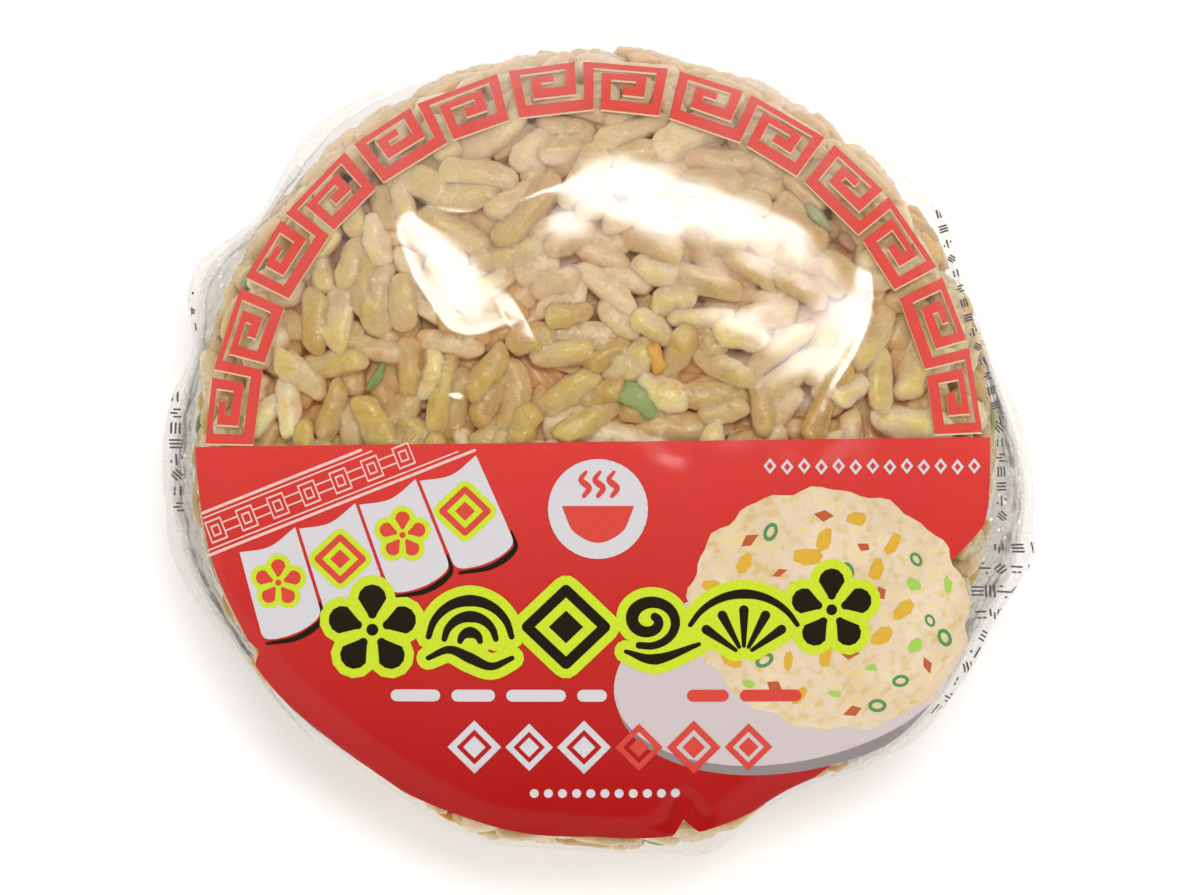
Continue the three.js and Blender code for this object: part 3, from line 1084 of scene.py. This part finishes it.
def brush(line, widths, more=0.0):
    """A stroke with round ends along a line. widths are its half widths from start to end."""
    line = np.asarray(line, dtype=float)
    if len(line) > 2:
        line = curve_through(line)
    run = np.gradient(line, axis=0)
    run /= np.linalg.norm(run, axis=1, keepdims=True)
    side = np.stack([-run[:, 1], run[:, 0]], axis=-1)
    along = np.linspace(0, 1, len(line))
    half = np.interp(along, np.linspace(0, 1, len(widths)), widths)[:, None] + more
    turn = np.linspace(0, math.pi, 7)[1:-1, None]
    far = line[-1] + half[-1] * (np.cos(turn) * side[-1] + np.sin(turn) * run[-1])
    near = line[0] - half[0] * (np.cos(turn) * side[0] + np.sin(turn) * run[0])
    return np.vstack([line + side * half, far, (line - side * half)[::-1], near])


def bar(start, end, half):
    return brush([start, end], (half, half))


def arc(low, high, reach, count=9):
    """Points of an arc from one angle to another in degrees, or of a spiral."""
    return spun(reach, np.radians(np.linspace(low, high, count)))


# Strokes of the figures for a size of 1: a line about the middle and half widths along it
BLOSSOM = [((spun(0.34, turn), spun(0.68, turn)), (0.10, 0.31))
           for turn in np.radians(-90 + 72 * np.arange(5))]
CORNERS = ((0, -0.9), (0.95, 0), (0, 0.9), (-0.95, 0))
RIBBON = [(ends, (0.13, 0.13)) for ends in zip(CORNERS, CORNERS[1:] + CORNERS[:1])]
WAVE = [((0, 0.35) + arc(188, 352, reach), (0.07, 0.14, 0.07)) for reach in (1.0, 0.62, 0.24)]
WAVE += [(((-1, 0.72), (-0.5, 0.52), (0, 0.72), (0.5, 0.92), (1, 0.72)), (0.06, 0.13, 0.06))]
CURL_MIDDLE, CURL_SPAN = (-0.15, -0.1), (0.16, 0.72)
CLOUD = [
    (CURL_MIDDLE + arc(-40, 470, np.linspace(*CURL_SPAN, 22), 22) * (1, 0.85), (0.10, 0.15, 0.08)),
    (((-0.7, 0.62), (0, 0.80), (1, 0.45)), (0.05, 0.13, 0.05)),
]
FAN = [((0, 0.8) + np.outer((0.25, 1.15), spun(1, turn)), (0.05, 0.12))
       for turn in np.radians((-145, -118, -90, -62, -35))]
FAN += [((0, 0.8) + arc(-150, -30, 1.55), (0.06, 0.12, 0.06))]


def figure(strokes, x, y, size, more):
    """A figure's loops about a pixel, its strokes made so much wider. Some have a solid
    middle, and the outline of the cloud fills its curl."""
    loops = [brush((x, y) + size * np.array(line), size * np.array(widths), more)
             for line, widths in strokes]
    if strokes is BLOSSOM:
        loops.append(oval(x, y, size * 0.13 + more, size * 0.13 + more))
    if strokes is RIBBON:
        loops.append(lozenge(x, y, size * 0.42 + more, size * 0.40 + more))
    if strokes is CLOUD and more:
        loops.append(oval(*((x, y) + size * np.array(CURL_MIDDLE)), 0.72 * size, 0.62 * size))
    return loops


# ---------------------------------------------------------------- printed shapes

# The fret, a stroke that turns in on itself at both ends. Rows are radii and half widths in
# millimetres, and the path runs over them in degrees clockwise from the figure's middle.
FRET_ROWS = {0: (39.17, 0.33), 1: (38.0, 0.35), 2: (36.6, 0.45), 3: (35.05, 0.52)}
FRET_PATH = (
    (-5.4, 1), (-8.17, 1), (-8.17, 2), (-2.76, 2), (-2.76, 0), (-11.09, 0), (-11.09, 3), (0, 3),
    (0, 0), (11.09, 0), (11.09, 3), (2.76, 3), (2.76, 1), (8.17, 1), (8.17, 2), (5.4, 2),
)
FRET_HALF_COLUMN = 0.75
FRET_FIRST, FRET_STEP, FRET_COUNT = 167.2, 25.45, 7
FIELD_CORNERS = ((194, 447), (991, 437))
FIELD_REACH = (  # angles in degrees and how far out the field reaches there
    (180, 40.6), (209, 40.3), (211, 39.8), (212.4, 41.0), (228, 40.1), (270, 39.5),
    (281.6, 40.1), (283.6, 38.6), (285.4, 40.4), (290, 40.5), (308, 40.2), (318, 37.0),
    (342, 37.6), (346, 39.2), (349, 40.4), (352, 40.6), (361, 40.3),
)
MOTIFS = (
    (BLOSSOM, 372, 630, 46), (WAVE, 470, 628, 42), (RIBBON, 566, 627, 41),
    (CLOUD, 656, 625, 43), (FAN, 744, 624, 40), (BLOSSOM, 832, 610, 42),
)
TAB_COUNT = 4
TAB_START, TAB_STEP = np.array((237.0, 550.0)), np.array((60.5, -24.0))
TAB_TOP = ((0, 0.03), (0.48, 0.09), (0.95, 0))
TAB_FOOT = ((0.95, 0.72), (0.90, 0.92), (0.50, 1.0), (0.05, 0.95), (0.0, 0.74))
TAB_SHADOW = ((0.97, 0.80), (0.91, 0.97), (0.50, 1.05), (0.04, 1.0))
RAIL_START, RAIL_RUN, RAIL_DOWN = np.array(((203, 536), (0.93, -0.367), (0.367, 0.93)))
RAIL_LINES = ((-22, 178, 1.5), (-17, 188, 0.8), (15, 268, 0.8), (20, 284, 1.5))
RAIL_SQUARE = np.array(((-9, -11.5), (9, -11.5), (9, 11.5), (-9, 11.5)))
DISH = (790, 668, 178, 96, -10)
MOUND = (831, 610, 142, 120, 12)
MOUND_SPOTS = (  # kind, count, half sizes, sides and the hole's half sizes and sides
    ("orange", 15, (12, 7), 7, None), ("ring", 10, (8.5, 6), 14, (5, 3, 10)),
    ("leaf", 9, (9, 5), 8, None), ("brown", 11, (9, 5.5), 4, None),
)
MARGIN_ROWS = (  # start, end, half the size of a mark and their count
    ((939, 214), (1001, 420), 4.5, 15), ((1001, 428), (1003, 516), 5.5, 7),
    ((178, 398), (180, 506), 6, 8), ((188, 262), (192, 326), 4.5, 5),
    ((997, 548), (1030, 546), 5.5, 3), ((985, 568), (1026, 567), 6, 4),
    ((978, 591), (1014, 590), 6.5, 4), ((981, 614), (1005, 612), 6.5, 3),
    ((984, 636), (940, 712), 7, 6),
)
MARKS = (  # bars from and to, along and across the row, in halves of a mark
    ((-0.8, -0.6, 0.8, -0.6), (-0.8, 0.0, 0.8, 0.0), (-0.8, 0.6, 0.8, 0.6)),
    ((-0.6, -0.8, -0.6, 0.8), (0.0, -0.8, 0.0, 0.8), (0.6, -0.8, 0.6, 0.8)),
    ((-0.8, 0.0, 0.8, 0.0), (-0.4, -0.8, -0.2, -0.8), (0.2, 0.8, 0.4, 0.8)),
    ((-0.8, 0.1, 0.0, -0.7), (-0.5, 0.6, 0.6, -0.5), (0.0, 0.8, 0.8, 0.1)),
    ((-0.7, -0.4, 0.7, -0.4), (-0.5, 0.5, -0.1, 0.5), (0.3, 0.5, 0.6, 0.5)),
    ((-0.5, -0.7, -0.5, 0.2), (0.1, -0.2, 0.1, 0.7), (0.7, -0.7, 0.7, 0.2)),
)


def printed(*loops, holes=True):
    """A printed shape: its loops in millimetres, and whether inner ones are holes."""
    return [from_photo(loop) for loop in loops], holes


def fret_figure(centre):
    """One figure of the fret as a loop, its middle at an angle in degrees."""
    count = len(FRET_PATH)
    corners = np.array([(turn, FRET_ROWS[row][0]) for turn, row in FRET_PATH])
    left, right = [], []
    for i in range(count):
        offset = np.zeros(2)
        for j in (i, i + 1):
            if 0 < j < count:
                run = corners[j] - corners[j - 1]
                if abs(run[0]) > abs(run[1]):
                    offset[1] += math.copysign(FRET_ROWS[FRET_PATH[j][1]][1], run[0])
                else:
                    offset[0] -= math.copysign(FRET_HALF_COLUMN, run[1])
        left.append(corners[i] + offset)
        right.append(corners[i] - offset)
    loop = np.array(left + right[::-1])
    return spun(loop[:, 1], np.radians(centre - loop[:, 0]))


def red_field():
    """The printed lower part: a straight top edge and an arc just inside the film's edge."""
    start, end = from_photo(FIELD_CORNERS)
    low = math.atan2(start[1], start[0]) % (2 * math.pi)
    angle = np.linspace(low, math.atan2(end[1], end[0]) + 2 * math.pi, 420)
    reach = np.interp(np.degrees(angle), *np.transpose(FIELD_REACH)) + 0.08 * np.sin(17 * angle)
    return spun(reach, angle)


def motifs(more):
    """The dark figures across the front, or their outlines with some width more."""
    return [printed(*(loop for place in MOTIFS for loop in figure(*place, more)), holes=False)]


def on_tab(i, *places):
    """Points of a hanging tab, each part of the way along its top and down its length."""
    return [TAB_START + TAB_STEP * (i + part) + np.array((25 + 4.5 * (i + part), 96)) * down
            for part, down in places]


def hanging_tab(i):
    top, foot = on_tab(i, *TAB_TOP), on_tab(i, *TAB_FOOT)
    return printed(np.vstack([curve_through(top, 5), curve_through(foot)]))


def tab_figures(more):
    """Blossoms and lozenges in turn, one on each tab."""
    return [printed(*figure((BLOSSOM, RIBBON)[i % 2], *on_tab(i, (0.46, 0.46))[0], 24, more),
                    holes=False) for i in range(TAB_COUNT)]


def rail():
    """A slanting rail of small linked squares between double lines, cut off by the field."""
    shapes = []
    for shift, end, half in RAIL_LINES:
        beside = RAIL_START + RAIL_DOWN * shift
        shapes.append(printed(bar(beside + RAIL_RUN * (-shift * 0.25), beside + RAIL_RUN * end, half)))
    for i in range(7):
        middle = RAIL_START + RAIL_RUN * (12 + 34 * i) - RAIL_DOWN
        square = RAIL_SQUARE @ (RAIL_RUN, RAIL_DOWN)
        shapes.append(printed(*(middle + square * part for part in (1.0, 0.84, 0.50, 0.34))))
        for shift in (-5, 4) if i < 6 else ():
            link = middle + RAIL_DOWN * shift
            shapes.append(printed(bar(link + RAIL_RUN * 9, link + RAIL_RUN * 25, 0.8)))
    return shapes


def price_lozenges(numbers):
    """Lozenges in a chain, some of them over the dish."""
    return [printed(*(lozenge(474 + 55 * i, 748, (27, 24)[i % 2] * part, (27, 24)[i % 2] * part)
                      for part in (1.0, 0.66, 0.42))) for i in numbers]


def pale_marks():
    """The small pale marks of the print: lozenges in a row, bars and dots."""
    shapes = []
    for i in range(13):
        x, y = 770 + 17.2 * i, 466 + (i % 2)
        shapes.append(printed(lozenge(x, y, 6.5, 8), lozenge(x, y, 3.2, 4)))
    shapes += [printed(bar((x, 696), (end, 696), 6))
               for x, end in ((396, 434), (457, 489), (512, 560), (583, 601))]
    shapes += price_lozenges(range(3))
    return shapes + [printed(oval(534 + 14.2 * i, 795, 4.6, 4.6, count=12)) for i in range(11)]


def dish_bars():
    """Bars and lozenges of the print that run on over the dish."""
    bars = [printed(bar((x, 696), (end, 696), 6)) for x, end in ((693, 723), (746, 796))]
    return bars + price_lozenges(range(3, 6))


def badge_bowl():
    """A bowl with three wisps of steam."""
    rim = curve_through([(632, 512), (622, 532), (598, 543), (574, 532), (564, 512)], 5)
    steam = [brush([(x, 496), (x + 5, 488), (x - 3, 480), (x + 2, 472)], (2.2, 3.4, 1.6))
             for x in (584, 598, 612)]
    return [printed(loop) for loop in (np.vstack([[(562, 506), (634, 506)], rim]), *steam)]


def dish_shade():
    x, y, wide, high, turn = DISH
    return oval(x + 6, y + 7, wide * 1.02, high * 1.03, turn, 80)


def mound():
    """The heap's uneven outline."""
    angle = np.linspace(0, 2 * math.pi, 90, endpoint=False)
    bumps = 1 + 0.018 * np.sin(13 * angle) + 0.014 * np.sin(23 * angle + 1)
    return (oval(*MOUND, 90) - MOUND[:2]) * bumps[:, None] + MOUND[:2]


def mound_spots(random):
    """Spots over the printed heap, by kind."""
    x, y, wide, high, _ = MOUND
    taken, shapes = [], {}
    for kind, count, half, sides, hole in MOUND_SPOTS:
        own = shapes[kind] = []
        tries = 0
        while len(own) < count and tries < 400:
            tries += 1
            angle, reach = random.uniform(0, 2 * math.pi), math.sqrt(random.random()) * 0.88
            at = np.array((x + wide * reach * math.cos(angle), y + high * reach * math.sin(angle)))
            if any(np.linalg.norm(at - other) < 23 for other in taken):
                continue
            taken.append(at)
            turn, size = random.uniform(0, 180), random.uniform(0.75, 1.3)
            loops = [oval(*at, half[0] * size, half[1] * size, turn, sides)]
            if hole:
                loops.append(oval(*at, hole[0] * size, hole[1] * size, turn, hole[2]))
            else:
                loops[0] += random.uniform(-1.6, 1.6, loops[0].shape)
            own.append(printed(*loops))
    return shapes


def margin_marks():
    """Rows of tiny marks of bars and dots on the film's loose ends, in the place of small
    print."""
    shapes = []
    number = 0
    for start, end, half, count in MARGIN_ROWS:
        run = unit(np.subtract(end, start))
        side = np.array((-run[1], run[0]))
        for middle in np.linspace(start, end, count):
            for x0, y0, x1, y1 in MARKS[number % len(MARKS)]:
                ends = [middle + half * (x * run + y * side) for x, y in ((x0, y0), (x1, y1))]
                shapes.append(printed(bar(*ends, 0.9)))
            number += 1
    return shapes


# ---------------------------------------------------------------- the print

INKS = {  # slot, colour on a screen and mottle
    "red": ("red_print", (219, 78, 67), 0.06),
    "cream": ("white_print", (234, 206, 168), 0.06),
    "white": ("white_print", (212, 207, 210), 0.02),
    "dish": ("white_print", (206, 193, 192), 0.02),
    "grey": ("white_print", (150, 140, 138), 0.06),
    "dark": ("dark_print", (38, 33, 22), 0.06),
    "lime": ("lime_print", (206, 226, 54), 0.06),
    "ring": ("lime_print", (92, 150, 88), 0.06),
    "leaf": ("lime_print", (168, 206, 92), 0.06),
    "orange": ("lime_print", (224, 176, 66), 0.06),
    "brown": ("dark_print", (194, 98, 62), 0.06),
    "pale": ("white_print", (244, 200, 190), 0.06),
    "small_print": ("dark_print", (96, 92, 92), 0.06),
}
# The field's red, and the darker red painted towards its bottom as painted shade
FIELD_RED, FIELD_SHADED_RED = (221, 68, 62), (166, 18, 18)
WITHIN = 0.986              # how far out the print under the film may reach
MARGIN_WITHIN = 0.996       # the same of the marks on the film's loose ends


def within_film(flat, most):
    """Points drawn in to lie within the film's outline."""
    radius, azimuth = np.hypot(*flat.T), np.arctan2(flat[:, 1], flat[:, 0])
    edge = most * (PACK_RADIUS + swell(azimuth) * most ** SWELL_FALLOFF)
    return flat * (np.minimum(radius, edge) / np.maximum(radius, 1e-9))[:, None]


def make_ink(name, front, shapes, depth, material, slot, spacing):
    """Printed shapes as one piece just under the film, or on its outside without a depth. A
    shape is the loops it is made of and whether its inner loops are holes."""
    points, faces, count = [], [], 0
    for loops, holes in shapes:
        flat, own = filled(loops, spacing, holes)
        points.append(flat)
        faces.append(own + count)
        count += len(flat)
    flat = within_film(np.concatenate(points), WITHIN if depth else MARGIN_WITHIN)
    if depth is None:
        x, y = flat.T
        polar = np.arcsin(np.minimum(out_at(x, y), EDGE))
        depth = -0.06 - crumple(polar, np.arctan2(y, x))[:, None]
    make_piece(name, front.under(flat, depth), np.concatenate(faces), material, slot)


def make_print(front, random):
    """All the print, from the red and cream of the fret down to the field's red."""
    inks = {name: (ink_material(name + "_ink", linear(*colour), mottle), slot)
            for name, (slot, colour, mottle) in INKS.items()}
    field = ink_material("red_field_ink", linear(*FIELD_RED), painted_shade_colour=linear(*FIELD_SHADED_RED))
    inks["field"] = field, "red_print"
    inks["heap"] = heap_ink_material(), "white_print"
    fret = [fret_figure(FRET_FIRST - FRET_STEP * i) for i in range(FRET_COUNT)]
    tabs = range(TAB_COUNT)
    shadows = [printed(brush(on_tab(i, *TAB_SHADOW), (1.0, 3.2, 1.5))) for i in tabs]
    layers = [  # piece, ink, depth under the film, shapes, spacing of the mesh
        ("fret", "red", 0.08, [([loop], True) for loop in fret], 0.5),
        ("fret_underprint", "cream", 0.13, [([loop - (0, 0.17)], True) for loop in fret], 0.5),
        ("red_field", "field", 0.16, [([red_field()], True)], 0.5),
        ("dish_shade", "grey", 0.14, [printed(dish_shade())], 0.5),
        ("dish", "dish", 0.12, [printed(oval(*DISH, 80))], 0.5),
        ("mound", "heap", 0.11, [printed(mound())], 0.5),
    ]
    spots = mound_spots(random)
    layers += [("mound_" + kind, kind, 0.10, spots[kind], 0.4)
               for kind in ("ring", "leaf", "orange", "brown")]
    layers += [
        ("tabs", "white", 0.12, [hanging_tab(i) for i in tabs], 0.5),
        ("tab_edges", "dark", 0.13, shadows, 0.5),
        ("rail", "pale", 0.12, rail(), 0.5),
        ("tab_outlines", "lime", 0.10, tab_figures(5.5), 0.5),
        ("tab_figures", "red", 0.08, tab_figures(0), 0.5),
        ("badge", "white", 0.12, [printed(oval(598, 509, 50, 50))], 0.5),
        ("badge_bowl", "red", 0.10, badge_bowl(), 0.5),
        ("motif_outlines", "lime", 0.09, motifs(9.5), 0.6),
        ("motifs", "dark", 0.07, motifs(0), 0.6),
        ("pale_marks", "white", 0.12, pale_marks(), 0.6),
        ("dish_bars", "red", 0.08, dish_bars(), 0.6),
        ("small_print", "small_print", None, margin_marks(), 0.5),
    ]
    for name, ink, depth, shapes, spacing in layers:
        make_ink(name, front, shapes, depth, *inks[ink], spacing)


# ---------------------------------------------------------------- everything

def make_floor():
    reach = 1.5
    corners = [(-reach, -reach, 0), (reach, -reach, 0), (reach, reach, 0), (-reach, reach, 0)]
    floor = in_scene(mesh_object("floor", corners, [(0, 1, 2, 3)]))
    floor.data.materials.append(floor_material())
    floor.location.z = -0.00005


def make_pack():
    random = np.random.default_rng(GRAIN_SEED)
    bits = place_bits(random)
    outer = grain_layer(random, 0.0, 0.48, 26000, kept_for(bits))
    inner = grain_layer(random, 1.25, 0.50, 12000)
    front = Front(outer, np.random.default_rng(FILM_SEED))
    facing = [grain for grain in outer if grain.up[2] > 0.5]
    others = [grain for grain in outer if grain.up[2] <= 0.5]
    layers = ((facing, 24, 18, 0, 0.75), (others, 12, 10, 0, 0.75), (inner, 9, 8, 0.1, 0.8))
    make_rice(layers, front, food_material("fried_rice", RICE_TINTS, roughness=0.23))
    for kind, tints in BIT_TINTS.items():
        food = food_material(kind, tints, weight=0.3, roughness=0.45, grain=0.12)
        make_bits(kind, bits, front, food)
    make_print(front, np.random.default_rng(PRINT_SEED))
    film = film_material()
    make_film(front, film)
    make_folds(film)


make_camera()
make_lights()
make_floor()
make_pack()
